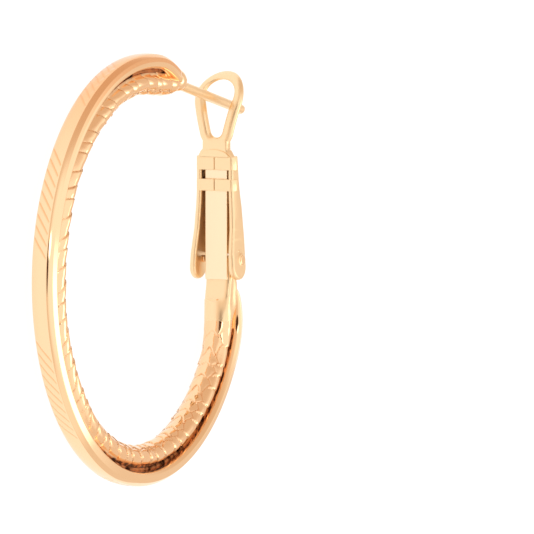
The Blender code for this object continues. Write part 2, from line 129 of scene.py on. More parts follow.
class ShaderDesk:
    """Adds nodes to one node tree."""

    def __init__(self, tree: bpy.types.NodeTree) -> None:
        """Start from an empty tree."""
        self.tree = tree
        tree.nodes.clear()

    def node(self, kind: str, settings: dict | None = None, values: dict | None = None) -> bpy.types.Node:
        """Add a node, apply its settings, then set or link its sockets.

        Args:
            kind: The node's type name.
            settings: Attributes of the node, set first.
            values: Numbers, colours, sockets or Numbers, by socket name or place.

        Returns:
            The new node.
        """
        made = self.tree.nodes.new(kind)
        for name, value in (settings or {}).items():
            setattr(made, name, value)
        for name, value in (values or {}).items():
            if isinstance(value, Number):
                self.tree.links.new(value.socket, made.inputs[name])
            elif isinstance(value, bpy.types.NodeSocket):
                self.tree.links.new(value, made.inputs[name])
            else:
                made.inputs[name].default_value = value
        return made

    def number(self, socket: bpy.types.NodeSocket) -> Number:
        """Wrap a socket so that sums can be written on it."""
        return Number(self.tree, socket)

    def noise(self, place: bpy.types.NodeSocket, scale: float, detail: float) -> Number:
        """Noise from 0 to 1.

        Args:
            place: The coordinates to read.
            scale: Features per unit of those coordinates.
            detail: Finer octaves.

        Returns:
            The noise value.
        """
        made = self.node("ShaderNodeTexNoise", {}, {"Vector": place, "Scale": scale, "Detail": detail})
        return self.number(made.outputs["Fac"])

    def blend(
        self, share: Number, low: tuple | bpy.types.NodeSocket, high: tuple | bpy.types.NodeSocket
    ) -> bpy.types.NodeSocket:
        """Mix two colours by a share.

        Args:
            share: How much of the second colour, from 0 to 1.
            low: The first colour, plain or from another node.
            high: The second colour, plain or from another node.

        Returns:
            The mixed colour.
        """
        ends = {MIX_LOW: low, MIX_HIGH: high}
        colours = {place: (*end, 1.0) if isinstance(end, tuple) else end for place, end in ends.items()}
        made = self.node("ShaderNodeMix", {"data_type": "RGBA"}, {MIX_SHARE: share, **colours})
        return made.outputs[MIX_RESULT]


@dataclass(frozen=True)
class GoldFinish:
    """Gold plating: its colour, polish and the marks of making and wear, with painted shade.

    A mesh may carry a point attribute for its grooves, from 0 on high places to 1
    in the grooves, where shade is painted into the colour, warmer and darker, and the
    polish is lower, and one for deep places, which is 1 in crevices and on inner
    faces, where dark shade is painted in blotches.
    """

    name: str
    tint: tuple[float, float, float]
    # Painted shade: the warmer, darker colour that grooves are blended towards
    hollow_shade_tint: tuple[float, float, float]
    roughness: float
    # Painted shade: the near-black colour laid in blotches in crevices and on inner faces, and how patchy
    # it is
    deep_shade_tint: tuple[float, float, float] = (0.045, 0.011, 0.005)
    deep_shade_contrast: float = 4.6
    deep_shade_cover: float = 0.9
    hollow_roughness: float = 0.12
    shade_blotch_per_mm: float = 1.6
    cloudiness: float = 0.05
    cloud_per_mm: float = 0.9
    waviness_um: float = 2.0
    wave_per_mm: float = 0.55
    brush_um: float = 0.12
    brush_per_mm: tuple[float, float, float] = (9.0, 9.0, 1.2)

    def material(self) -> bpy.types.Material:
        """Make the material, or find the one made before."""
        made = bpy.data.materials.get(self.name)
        if made is None:
            made = bpy.data.materials.new(self.name)
            made.use_nodes = True
            self._wire(ShaderDesk(made.node_tree))
        return made

    def _wire(self, desk: ShaderDesk) -> None:
        """Lay out the nodes.

        Args:
            desk: The material's node tree.
        """
        spot = desk.node("ShaderNodeTexCoord").outputs["Object"]
        in_mm = desk.node(
            "ShaderNodeMapping", {"vector_type": "POINT"}, {"Vector": spot, "Scale": (1 / MM,) * 3}
        ).outputs["Vector"]
        along_brush = desk.node(
            "ShaderNodeMapping", {"vector_type": "POINT"}, {"Vector": in_mm, "Scale": self.brush_per_mm}
        ).outputs["Vector"]
        hollow_shade = desk.number(desk.node("ShaderNodeAttribute", {"attribute_name": "hollow_shade"}).outputs["Fac"])
        deep_shade = desk.number(desk.node("ShaderNodeAttribute", {"attribute_name": "deep_shade"}).outputs["Fac"])
        shade_blotch = desk.noise(in_mm, self.shade_blotch_per_mm, 2.0)
        cloud = desk.noise(in_mm, self.cloud_per_mm, 2.0)
        wave = desk.noise(in_mm, self.wave_per_mm, 1.0)
        brush = desk.noise(along_brush, 1.0, 3.0)
        height = wave * (self.waviness_um * MM * MM) + brush * (self.brush_um * MM * MM)
        bump = desk.node("ShaderNodeBump", {}, {"Strength": 1.0, "Distance": 1.0, "Height": height})
        shade = (cloud - NOISE_MIDDLE) * self.cloudiness
        # Painted shade: warmer and darker in grooves, then near black in blotches in crevices and on inner
        # faces
        polished = desk.blend(hollow_shade + shade + deep_shade, self.tint, self.hollow_shade_tint)
        deep_shade_share = (shade_blotch - NOISE_MIDDLE) * self.deep_shade_contrast + self.deep_shade_cover
        colour = desk.blend(deep_shade * deep_shade_share, polished, self.deep_shade_tint)
        rough = self.roughness + hollow_shade * self.hollow_roughness + shade
        shader = desk.node(
            "ShaderNodeBsdfPrincipled",
            {},
            {"Base Color": colour, "Metallic": 1.0, "Roughness": rough, "Normal": bump.outputs["Normal"]},
        )
        desk.node("ShaderNodeOutputMaterial", {}, {"Surface": shader.outputs["BSDF"]})


# The second colour of each finish is the shade painted into its grooves
MIRROR_GOLD = GoldFinish("mirror_gold", (0.97, 0.68, 0.41), (0.91, 0.46, 0.21), 0.07)
SCALE_GOLD = GoldFinish("scale_gold", (0.97, 0.65, 0.385), (0.82, 0.36, 0.14), 0.12, waviness_um=1.0)
CLIP_GOLD = GoldFinish(
    "clip_gold", (0.97, 0.68, 0.42), (0.90, 0.48, 0.23), 0.21, (0.10, 0.014, 0.005), 1.4, waviness_um=3.0
)
# Painted shade: dark orange to near black in blotches, for the strip in the crevice between ring and strand
CREVICE_SHADE_GOLD = GoldFinish(
    "crevice_shade_gold", (0.55, 0.18, 0.04), (0.04, 0.01, 0.005), 0.3, cloudiness=4.0, waviness_um=6.0
)
LEAF_GOLD = GoldFinish(
    "leaf_gold", (0.98, 0.76, 0.51), (0.94, 0.62, 0.38), 0.24, waviness_um=1.0, brush_per_mm=(9.0, 0.5, 9.0)
)


# Mesh building


def tube(
    stations: Sequence[float],
    sides: int,
    place: Callable[[float, float], Vector],
    marks: dict[str, Callable[[float, float], float]] | None = None,
    crowding: float = 0.0,
) -> bmesh.types.BMesh:
    """Roll a flat grid into a tube that follows a rule, and close its ends.

    Args:
        stations: Values along the tube, one for each ring of points.
        sides: Points round the tube.
        place: Gives a point from a station's value and the angle round the tube.
        marks: Point attributes by name, each worked out from the same two values.
        crowding: How far the points gather towards angle 0, from 0 to 1.

    Returns:
        The closed tube.
    """
    bm = bmesh.new()
    steps = len(stations) - 1
    bmesh.ops.create_grid(bm, x_segments=steps, y_segments=sides, size=1.0)
    layers = {name: bm.verts.layers.float.new(name) for name in marks or {}}
    for vert in bm.verts:
        station = stations[round((vert.co.x + 1) / 2 * steps)]
        even = vert.co.y * math.pi
        direction = even - crowding * math.sin(even)
        for name, layer in layers.items():
            vert[layer] = marks[name](station, direction)
        vert.co = place(station, direction)
    bmesh.ops.remove_doubles(bm, verts=bm.verts[:], dist=MM)
    bmesh.ops.holes_fill(bm, edges=[edge for edge in bm.edges if edge.is_boundary], sides=0)
    return bm


def rounded_ends(start: float, end: float, reach: float, step: float, turns: int = 8) -> list[float]:
    """Values from start to end, crowded towards both ends where a tube closes.

    Args:
        start: First value.
        end: Last value.
        reach: How far from each end the tube is rounded.
        step: Spacing in between.
        turns: Values over each rounded end.

    Returns:
        The values in order.
    """
    crowd = [reach * (1 - math.cos(math.pi / 2 * turn / turns)) for turn in range(turns + 1)]
    span = end - start - 2 * reach
    steps = max(1, round(span / step))
    middle = [start + reach + span * number / steps for number in range(1, steps)]
    return [start + value for value in crowd] + middle + [end - value for value in reversed(crowd)]


def plate(
    outline: Iterable[tuple[float, float]], low: float, high: float, round_off: float
) -> bmesh.types.BMesh:
    """A flat outline extruded along Z, with its rims rounded.

    Args:
        outline: Corners in X and Y, in order.
        low: Lower height.
        high: Upper height.
        round_off: Radius of the rims.

    Returns:
        The plate.
    """
    bm = bmesh.new()
    face = bm.faces.new([bm.verts.new((x, y, low)) for x, y in outline])
    grown = bmesh.ops.extrude_face_region(bm, geom=[face])["geom"]
    moved = [item for item in grown if isinstance(item, bmesh.types.BMVert)]
    bmesh.ops.translate(bm, verts=moved, vec=(0.0, 0.0, high - low))
    rims = [edge for edge in bm.edges if abs(edge.verts[0].co.z - edge.verts[1].co.z) < MM]
    soften(bm, rims, round_off, 4)
    return bm


def soften(bm: bmesh.types.BMesh, edges: list[bmesh.types.BMEdge], radius: float, segments: int) -> None:
    """Round edges off.

    Args:
        bm: The mesh.
        edges: The edges to round.
        radius: How far the rounding reaches.
        segments: Faces across it.
    """
    bmesh.ops.bevel(
        bm, geom=edges, offset=radius, segments=segments, profile=0.5, affect="EDGES", material=-1
    )


def block(size: tuple[float, float, float], middle: tuple[float, float, float]) -> bmesh.types.BMesh:
    """A sharp box.

    Args:
        size: Its length along each axis.
        middle: Its centre.

    Returns:
        The box.
    """
    bm = bmesh.new()
    bmesh.ops.create_cube(bm, size=1.0)
    bmesh.ops.scale(bm, verts=bm.verts[:], vec=size)
    bmesh.ops.translate(bm, verts=bm.verts[:], vec=middle)
    return bm


def turned(profile: Sequence[tuple[float, float]], steps: int) -> bmesh.types.BMesh:
    """A profile turned round the Z axis.

    Args:
        profile: Radius and height of each point, from one end to the other.
        steps: Points round the axis.

    Returns:
        The turned solid.
    """
    bm = bmesh.new()
    verts = [bm.verts.new((radius, 0.0, height)) for radius, height in profile]
    edges = [bm.edges.new(pair) for pair in zip(verts, verts[1:])]
    around = {"cent": (0, 0, 0), "axis": (0, 0, 1), "angle": math.tau, "steps": steps}
    bmesh.ops.spin(bm, geom=verts + edges, use_merge=True, **around)
    bmesh.ops.remove_doubles(bm, verts=bm.verts[:], dist=MM)
    return bm


def gather(parts: Iterable[bmesh.types.BMesh]) -> bmesh.types.BMesh:
    """Put several meshes into one, and free them.

    Args:
        parts: The meshes.

    Returns:
        One mesh that holds them all.
    """
    whole = bmesh.new()
    for part in parts:
        bmesh.ops.recalc_face_normals(part, faces=part.faces[:])
        mesh = bpy.data.meshes.new("part")
        part.to_mesh(mesh)
        part.free()
        whole.from_mesh(mesh)
        bpy.data.meshes.remove(mesh)
    return whole


def worked(shapes: Sequence[bmesh.types.BMesh], kind: str, settings: dict) -> bmesh.types.BMesh:
    """Run a modifier on the first of some closed shapes, and free them all.

    Args:
        shapes: The shape that is worked on, and the one that works on it if there is one.
        kind: The modifier's type.
        settings: Attributes of the modifier.

    Returns:
        The worked shape.
    """
    things = []
    for shape in shapes:
        mesh = bpy.data.meshes.new("working")
        shape.to_mesh(mesh)
        shape.free()
        things.append(bpy.data.objects.new("working", mesh))
        bpy.context.scene.collection.objects.link(things[-1])
    modifier = things[0].modifiers.new("working", kind)
    for name, value in settings.items():
        setattr(modifier, name, value)
    for other in things[1:]:
        modifier.object = other
    graph = bpy.context.evaluated_depsgraph_get()
    made = bpy.data.meshes.new_from_object(things[0].evaluated_get(graph))
    for thing in things:
        bpy.data.objects.remove(thing)
    result = bmesh.new()
    result.from_mesh(made)
    return result


def melted(bm: bmesh.types.BMesh, grain: float, passes: int) -> bmesh.types.BMesh:
    """Melt overlapping shapes into one skin with soft inner corners.

    Args:
        bm: Closed shapes that overlap.
        grain: Size of the new faces.
        passes: Rounds of smoothing.

    Returns:
        The single skin.
    """
    skin = worked([bm], "REMESH", {"mode": "VOXEL", "voxel_size": grain})
    axes = {"use_axis_x": True, "use_axis_y": True, "use_axis_z": True}
    for _ in range(passes):
        bmesh.ops.smooth_vert(skin, verts=skin.verts[:], factor=0.5, **axes)
    return skin


def cut_out(bm: bmesh.types.BMesh, cutter: bmesh.types.BMesh) -> bmesh.types.BMesh:
    """Cut one closed shape out of another, and free both.

    Args:
        bm: The shape that is kept.
        cutter: The shape that is taken away.

    Returns:
        What is left.
    """
    return worked([bm, cutter], "BOOLEAN", {"operation": "DIFFERENCE"})


def mark(bm: bmesh.types.BMesh, name: str, rule: Callable[[bmesh.types.BMVert], float]) -> None:
    """Write a point attribute.

    Args:
        bm: The mesh.
        name: The attribute's name.
        rule: Gives the value at a point.
    """
    layer = bm.verts.layers.float.new(name)
    for vert in bm.verts:
        vert[layer] = rule(vert)


@dataclass
class Bench:
    """Turns meshes in millimetres into pieces of the dressed model.

    Attributes:
        hinge: The hinge axis, in metres.
        hinge_reach: How far the hinge lies from the hoop's centre, in millimetres.
    """

    hinge: Vector
    hinge_reach: float

    def origin(self, body: Body) -> Vector:
        """Where a body's pieces are modelled about, in metres."""
        if body is Body.CLIP:
            return self.hinge
        return self.hinge - Vector((self.hinge_reach * MM, 0.0, 0.0))

    def piece(
        self,
        name: str,
        bm: bmesh.types.BMesh,
        body: Body,
        slot: Slot,
        finish: GoldFinish,
        replaced: str,
        sharp_deg: float = 40.0,
        flats: bool = False,
    ) -> bpy.types.Object:
        """Finish a piece: place it, dress it and hide the solid that it stands for.

        Args:
            name: The piece's name.
            bm: Its mesh in millimetres, which is used up.
            body: The body that it rides on.
            slot: The record's finish; not used.
            finish: Its material.
            replaced: The solid that it stands for.
            sharp_deg: Edges sharper than this stay sharp.
            flats: Whether its flat faces are kept flat to the light beside their rounded rims.

        Returns:
            The finished object.
        """
        bmesh.ops.recalc_face_normals(bm, faces=bm.faces[:])
        mesh = bpy.data.meshes.new(name)
        bm.to_mesh(mesh)
        bm.free()
        mesh.transform(Matrix.Translation(self.origin(body)) @ Matrix.Scale(MM, 4))
        mesh.shade_smooth()
        mesh.set_sharp_from_angle(angle=math.radians(sharp_deg))
        mesh.materials.append(finish.material())
        thing = bpy.data.objects.new(name, mesh)
        bpy.context.scene.collection.objects.link(thing)
        if flats:
            thing.modifiers.new("flats", "WEIGHTED_NORMAL").keep_sharp = True
        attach(thing, body.value)
        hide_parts(replaced)
        LOG.info("%s: %d faces on %s", name, len(mesh.polygons), body.value)
        return thing


def on_hoop(radius: float, angle_deg: float, z: float) -> Vector:
    """A point at a distance from the hoop's axis and an angle round it."""
    angle = math.radians(angle_deg)
    return Vector((radius * math.cos(angle), radius * math.sin(angle), z))


def ease(share: float) -> float:
    """A smooth step from 0 to 1."""
    held = min(1.0, max(0.0, share))
    return held * held * (3 - 2 * held)


def scatter(number: int) -> float:
    """A repeatable value from -1 to 1 that looks random from one number to the next."""
    return math.sin(number * 12.9898) * math.cos(number * 4.1414)


@dataclass
class OuterRing:
    """The smooth oval ring with patches of slanted flutes."""

    outer_radius: float = 20.0
    thickness: float = 1.5
    width: float = 2.5
    squareness: float = 2.3
    start_deg: float = 68.5
    end_deg: float = 353.0
    end_round: float = 1.4
    top_tuck: float = 1.0
    top_tuck_deg: float = 15.0
    back_tuck: float = 2.7
    back_tuck_deg: float = 24.0
    corner: float = 0.52
    corner_drop: float = 0.03
    shoulder_fall: float = 0.36
    facet_foot: float = 0.55
    facet_tilt_deg: float = 15.0
    # Painted shade towards the hoop's top, towards the strand and along each flute's shaded side
    top_painted_shade: float = 0.75
    top_shade_deg: tuple[float, float] = (155.0, 45.0)
    inside_painted_shade: float = 0.8
    inside_shade_deg: tuple[float, float] = (125.0, 40.0)
    flute_patches: tuple = ((106.0, 7), (145.5, 9), (199.0, 9), (249.0, 9), (297.0, 9))
    flute_pitch_deg: float = 3.2
    flute_slant_deg: float = 53.0
    flute_depth: float = 0.11
    flute_wall_share: float = 0.10
    flute_floor_slope: float = 0.85
    flute_painted_shade: float = 0.9
    flute_shade_share: float = 0.36
    flute_foot: float = -1.15
    flute_taper: float = 0.38
    step_deg: float = 0.29
    sides: int = 84
    crowding: float = 0.45
    sharp_deg: float = 60.0

    @property
    def radius(self) -> float:
        """The centre line's distance from the hoop's axis."""
        return self.outer_radius - self.thickness / 2

    def centre_radius(self, angle_deg: float) -> float:
        """The centre line at an angle, tucked inwards at both ends."""
        top = max(0.0, 1.0 - (angle_deg - self.start_deg) / self.top_tuck_deg)
        back = max(0.0, 1.0 - (self.end_deg - angle_deg) / self.back_tuck_deg)
        return self.radius - self.top_tuck * top**2 - self.back_tuck * back**3

    def fullness(self, angle_deg: float) -> float:
        """How full the section is at an angle, from 0 at an end to 1."""
        nearer = math.radians(min(angle_deg - self.start_deg, self.end_deg - angle_deg)) * self.radius
        share = min(1.0, max(0.0, nearer / self.end_round))
        return math.sqrt(1.0 - (1.0 - share) ** 2)

    def flute(self, angle_deg: float, z: float) -> tuple[float, float]:
        """Where a place on the crown lies in its flute.

        Args:
            angle_deg: The angle round the hoop.
            z: The place across the ring.

        Returns:
            How deep the flute is there, as a share, and how far across it the place lies.
        """
        slant = math.degrees(z * math.tan(math.radians(self.flute_slant_deg)) / self.outer_radius)
        for first_deg, count in self.flute_patches:
            place = (angle_deg - slant - first_deg) / self.flute_pitch_deg
            if 0.0 <= place < count:
                share = place % 1.0
                wall = min(1.0, share / self.flute_wall_share)
                floor = 1.0 - self.flute_floor_slope * share
                taper_top = max(0.0, 1.0 - (self.corner - z) / self.flute_taper)
                taper_foot = max(0.0, 1.0 - (z - self.flute_foot) / self.flute_taper)
                return max(0.0, wall * floor - taper_top - taper_foot), share
        return 0.0, 0.0

    def section(self, direction: float) -> tuple[float, float]:
        """Rise and place across of the full section, with its shoulder and slanting facet."""
        power = 2.0 / self.squareness
        out = math.copysign(abs(math.cos(direction)) ** power, math.cos(direction))
        side = math.copysign(abs(math.sin(direction)) ** power, math.sin(direction))
        z = side * self.width / 2
        rise = out * self.thickness / 2
        if z > self.corner and rise > 0.0:
            share = min(1.0, (z - self.corner) / (self.width / 2 - self.corner))
            crest = self.thickness / 2 - self.corner_drop - self.shoulder_fall * share
            rise = min(rise, crest * math.sqrt(1.0 - share**2))
        tilt = math.tan(math.radians(self.facet_tilt_deg))
        return rise, min(z, self.width / 2 - max(0.0, rise + self.facet_foot) * tilt)

    def surface(self, angle_deg: float, direction: float) -> Vector:
        """A point of the ring's skin.

        Args:
            angle_deg: The angle round the hoop.
            direction: The angle round the section, from outwards towards +Z.

        Returns:
            The point.
        """
        full = self.fullness(angle_deg)
        rise, z = self.section(direction)
        if rise > 0.0:
            rise -= self.flute_depth * self.flute(angle_deg, z)[0]
        return on_hoop(self.centre_radius(angle_deg) + rise * full, angle_deg, z * full)

    def hollow_shade(self, angle_deg: float, direction: float) -> float:
        """Painted shade, warmer and darker: in the flutes, towards the strand and towards the top."""
        rise, z = self.section(direction)
        start, reach = self.inside_shade_deg
        inside = self.inside_painted_shade * ease((abs(math.degrees(direction)) - start) / reach)
        if rise <= 0.0:
            return inside
        depth, share = self.flute(angle_deg, z)
        shaded = 1.0 - ease((share - self.flute_wall_share) / self.flute_shade_share)
        start, reach = self.top_shade_deg
        top = self.top_painted_shade * ease((start - angle_deg) / reach)
        return max(inside, top + (1.0 - top) * self.flute_painted_shade * shaded * min(1.0, 4.0 * depth))

    def build(self, bench: Bench) -> None:
        """Make the ring."""
        reach = math.degrees(self.end_round / self.radius)
        stations = rounded_ends(self.start_deg, self.end_deg, reach, self.step_deg)
        bm = tube(stations, self.sides, self.surface, {"hollow_shade": self.hollow_shade}, self.crowding)
        bench.piece("outer_ring", bm, Body.HOOP, Slot.POLISHED, MIRROR_GOLD, "hoop", self.sharp_deg)


@dataclass
class ScaleStrand:
    """The inner strand, covered with overlapping scales in staggered columns."""

    outer_radius: float = 18.38
    thickness: float = 2.25
    width: float = 2.7
    shift: float = -0.25
    start_deg: float = 68.5
    end_deg: float = 346.0
    end_round: float = 1.4
    top_tuck: float = 0.8
    top_tuck_deg: float = 15.0
    back_tuck: float = 1.1
    back_tuck_deg: float = 22.0
    belly: float = 0.2
    belly_deg: float = 118.0
    belly_reach_deg: float = 24.0
    pitch_deg: float = 5.2
    first_deg: float = 74.0
    last_deg: float = 334.0
    inner_deg: float = 45.0
    hidden_deg: float = 32.0
    interlock_deg: float = 12.0
    chevron: float = 0.34
    wander: float = 0.16
    drifts: tuple = ((1.0, 0.37, 0.0), (0.6, 0.81, 1.0))
    height: float = 0.21
    top_height: float = 0.12
    top_rise_deg: tuple[float, float] = (135.0, 30.0)
    datum: float = 0.85
    lowest: float = 0.08
    slope: float = 0.72
    slope_spread: float = 0.2
    ridge: float = 0.5
    ridge_spread: float = 0.45
    cant: float = 0.34
    fold: float = 0.4
    fold_slant: float = 0.4
    overrun_deg: float = 4.0
    rise_deg: tuple[float, float, float] = (7.0, 6.0, 6.0)
    # Where dark shade is painted into the crevice beside the ring
    crevice_from_deg: tuple[float, float] = (78.0, 6.0)
    crevice_to_deg: tuple[float, float] = (343.0, 5.0)
    crevice_widens_deg: tuple[float, float] = (238.0, 27.0)
    crevice_deg: tuple[float, float] = (34.0, 50.0)
    crevice_edge_deg: float = 9.0
    wall_share: float = 0.075
    seam_share: float = 0.07
    steps_per_pitch: int = 18
    sides: int = 80
    crowding: float = -0.35
    sharp_deg: float = 50.0

    @property
    def radius(self) -> float:
        """The centre line's distance from the hoop's axis."""
        return self.outer_radius - self.thickness / 2

    def centre_radius(self, angle_deg: float) -> float:
        """The centre line at an angle, out at the top and in at the hinge."""
        top = max(0.0, 1.0 - (angle_deg - self.start_deg) / self.top_tuck_deg)
        back = max(0.0, 1.0 - (self.end_deg - angle_deg) / self.back_tuck_deg)
        return self.radius + self.top_tuck * top**2 - self.back_tuck * back**2

    def scale(self, angle_deg: float, direction: float) -> tuple[int, float, float]:
        """Which scale covers a place, and where on it the place lies.

        Args:
            angle_deg: The angle round the hoop.
            direction: The angle round the section.

        Returns:
            A number for the scale, how far along it from 0 to 1, and how far across it
            from -1 to 1.
        """
        turn = math.degrees(direction)
        drift = sum(size * math.sin(angle_deg * rate + start) for size, rate, start in self.drifts)
        place = (angle_deg - self.first_deg) / self.pitch_deg + self.wander * drift
        bulge = 1.0 - 4.0 * abs(place % 1.0 - 0.5)
        edge = 180.0 - self.inner_deg - self.interlock_deg * bulge
        if abs(turn) > edge:
            across = math.copysign((180.0 - abs(turn)) / (180.0 - edge), turn)
            place += self.chevron * (abs(across) - 0.5)
            column = 0
        else:
            across = (2.0 * abs(turn) - edge - self.hidden_deg) / (edge - self.hidden_deg)
            place += 0.5 + self.chevron * across
            column = 1 if turn > 0.0 else 2
        number = math.floor(place)
        return number * 3 + column, place - number, across

    def relief(self, angle_deg: float, direction: float) -> tuple[float, float]:
        """How high the scales stand at a place.

        Args:
            angle_deg: The angle round the hoop.
            direction: The angle round the section.

        Returns:
            The height as a share of a scale's full rise, and how deep in a seam the place is.
        """
        number, along, across = self.scale(angle_deg, direction)
        tilt = scatter(number * 7 + 1)
        split = self.ridge_spread * scatter(number * 5 + 2)
        wall = ease(along / self.wall_share)
        border = ease((1.0 - abs(across)) / self.seam_share)
        slope = 1.0 - along * (self.slope + self.slope_spread * tilt)
        off_fold = abs(along - 0.5 + self.fold_slant * across)
        facet = 1.0 - self.ridge * abs(across - split) + self.cant * tilt * across - self.fold * off_fold
        height = self.lowest + (1.0 - self.lowest) * slope * facet
        return wall * border * height, 1.0 - min(wall, border)

    def shown(self, angle_deg: float, direction: float) -> float:
        """How far the scales have come up at a place, from 0 near the ends and the ring to 1."""
        first, last, flank = self.rise_deg
        start = ease((angle_deg - self.start_deg) / first)
        end = ease((self.last_deg + self.overrun_deg - angle_deg) / last)
        return start * end * ease((abs(math.degrees(direction)) - self.hidden_deg) / flank)

    def surface(self, angle_deg: float, direction: float) -> Vector:
        """A point of the strand's skin.

        Args:
            angle_deg: The angle round the hoop.
            direction: The angle round the section, from outwards towards +Z.

        Returns:
            The point.
        """
        nearer = math.radians(angle_deg - self.start_deg) * self.radius
        share = min(1.0, max(0.0, nearer / self.end_round))
        full = math.sqrt(1.0 - (1.0 - share) ** 2)
        until, over = self.top_rise_deg
        height = self.height + self.top_height * ease((until - angle_deg) / over)
        relief = self.relief(angle_deg, direction)[0]
        sunk = height * self.shown(angle_deg, direction) * (relief - self.datum)
        belly = self.belly * ease(1.0 - abs(angle_deg - self.belly_deg) / self.belly_reach_deg)
        out = math.cos(direction) * (full * self.thickness / 2 + sunk) - belly * ease(-math.cos(direction))
        side = math.sin(direction) * (full * self.width / 2 + sunk)
        return on_hoop(self.centre_radius(angle_deg) + out, angle_deg, self.shift + side)

    def hollow_shade(self, angle_deg: float, direction: float) -> float:
        """How far into a seam between scales a place lies, which sets how much shade is painted there."""
        return self.shown(angle_deg, direction) * self.relief(angle_deg, direction)[1]

    def deep_shade(self, angle_deg: float, direction: float) -> float:
        """How far into the crevice beside the ring a place lies, which sets how much dark shade is painted
        there.
        """
        start = ease((angle_deg - self.crevice_from_deg[0]) / self.crevice_from_deg[1])
        end = ease((self.crevice_to_deg[0] - angle_deg) / self.crevice_to_deg[1])
        narrow, wide = self.crevice_deg
        widens = ease((angle_deg - self.crevice_widens_deg[0]) / self.crevice_widens_deg[1])
        reach = narrow + (wide - narrow) * widens
        return start * end * ease((reach - abs(math.degrees(direction))) / self.crevice_edge_deg)

    def build(self, bench: Bench) -> None:
        """Make the strand, with shade painted into its seams and into the crevice beside the ring."""
        reach = math.degrees(self.end_round / self.radius)
        stations = rounded_ends(self.start_deg, self.end_deg, reach, self.pitch_deg / self.steps_per_pitch)
        # Painted shade in the seams between scales and in the crevice beside the ring
        marks = {"hollow_shade": self.hollow_shade, "deep_shade": self.deep_shade}
        bm = tube(stations, self.sides, self.surface, marks, self.crowding)
        bench.piece("scale_strand", bm, Body.HOOP, Slot.POLISHED, SCALE_GOLD, "hoop", self.sharp_deg)


@dataclass
class CreviceShadeStrip:
    """A dark strip set back between ring and strand; its colour is painted shade for the crevice between
    them.
    """

    ring: OuterRing
    strand: ScaleStrand
    start_deg: float = 78.0
    end_deg: float = 338.0
    depth: float = 0.7
    width: float = 0.9
    # How far the strip's painted shade leans to near black
    darkness: float = 0.45
    step_deg: float = 1.0
    sides: int = 16

    def surface(self, angle_deg: float, direction: float) -> Vector:
        """A point of the strip's skin."""
        ring_inside = self.ring.centre_radius(angle_deg) - self.ring.thickness / 2
        strand_outside = self.strand.centre_radius(angle_deg) + self.strand.thickness / 2
        radius = (ring_inside + strand_outside) / 2 + self.depth / 2 * math.cos(direction)
        return on_hoop(radius, angle_deg, self.width / 2 * math.sin(direction))

    def build(self, bench: Bench) -> None:
        """Make the strip of painted shade."""
        count = round((self.end_deg - self.start_deg) / self.step_deg)
        stations = [self.start_deg + self.step_deg * number for number in range(count + 1)]
        bm = tube(stations, self.sides, self.surface, {"hollow_shade": lambda *_: self.darkness})
        bench.piece("ring_crevice_shade", bm, Body.HOOP, Slot.POLISHED, CREVICE_SHADE_GOLD, "hoop")


@dataclass
class EarPost:
    """The straight post and the solder that it grows out of."""

    diameter: float = 0.92
    root: float = 6.5
    reach: float = 11.9
    slope_deg: float = 13.5
    exit_deg: float = 63.5
    line_radius: float = 18.44
    tip_round: float = 0.16
    tip_turns: int = 6
    solder_size: tuple[float, float, float] = (2.1, 2.7, 2.0)
    solder_deg: float = 69.0
    spacing: float = 0.3
    sides: int = 48
    buried: float = 0.5
    sheath: float = 1.5
    grain: float = 0.07
    passes: int = 6

    @property
    def heading(self) -> Vector:
        """The way the post points."""
        slope = math.radians(self.slope_deg)
        return Vector((math.cos(slope), -math.sin(slope), 0.0))

    @property
    def tip(self) -> Vector:
        """The middle of the post's flat tip."""
        return on_hoop(self.line_radius, self.exit_deg, 0.0) + self.heading * self.reach

    def surface(self, before_tip: float, direction: float) -> Vector:
        """A point of the post's skin, by its distance before the tip and the angle round it."""
        corner = max(0.0, self.tip_round - before_tip)
        radius = self.diameter / 2 - self.tip_round + math.sqrt(self.tip_round**2 - corner**2)
        outwards = self.heading.cross(Vector((0.0, 0.0, 1.0)))
        away = outwards * math.cos(direction) + Vector((0.0, 0.0, math.sin(direction)))
        return self.tip - self.heading * before_tip + away * radius

    def rod(self, near: float, far: float) -> bmesh.types.BMesh:
        """A length of the post.

        Args:
            near: How far before the tip it starts.
            far: How far before the tip it ends.

        Returns:
            The rod, rounded where it ends at the tip.
        """
        steps = round((near - far) / self.spacing)
        turns = [math.pi / 2 * turn / self.tip_turns for turn in range(self.tip_turns + 1)]
        stations = [far + self.tip_round * (1 - math.cos(turn)) for turn in turns]
        rest = near - far - self.tip_round
        stations += [far + self.tip_round + rest * number / steps for number in range(1, steps + 1)]
        return tube(stations, self.sides, self.surface)

    def solder(self) -> bmesh.types.BMesh:
        """The rounded solder, melted onto the post's root."""
        bead = bmesh.new()
        bmesh.ops.create_uvsphere(bead, u_segments=32, v_segments=20, radius=0.5)
        bmesh.ops.scale(bead, verts=bead.verts[:], vec=self.solder_size)
        turn = Matrix.Rotation(math.radians(self.solder_deg), 4, "Z")
        place = Matrix.Translation(on_hoop(self.line_radius, self.solder_deg, 0.0))
        bmesh.ops.transform(bead, matrix=place @ turn, verts=bead.verts[:])
        root = self.rod(self.root + self.reach, self.reach - self.sheath)
        return melted(gather([bead, root]), self.grain, self.passes)

    def build(self, bench: Bench) -> None:
        """Make the post and its solder."""
        post = self.rod(self.reach + self.buried, 0.0)
        bench.piece("ear_post", post, Body.HOOP, Slot.POLISHED, CLIP_GOLD, "hoop")
        style = (Body.HOOP, Slot.POLISHED, MIRROR_GOLD, "hoop", MELTED_SHARP_DEG)
        bench.piece("post_solder", self.solder(), *style)


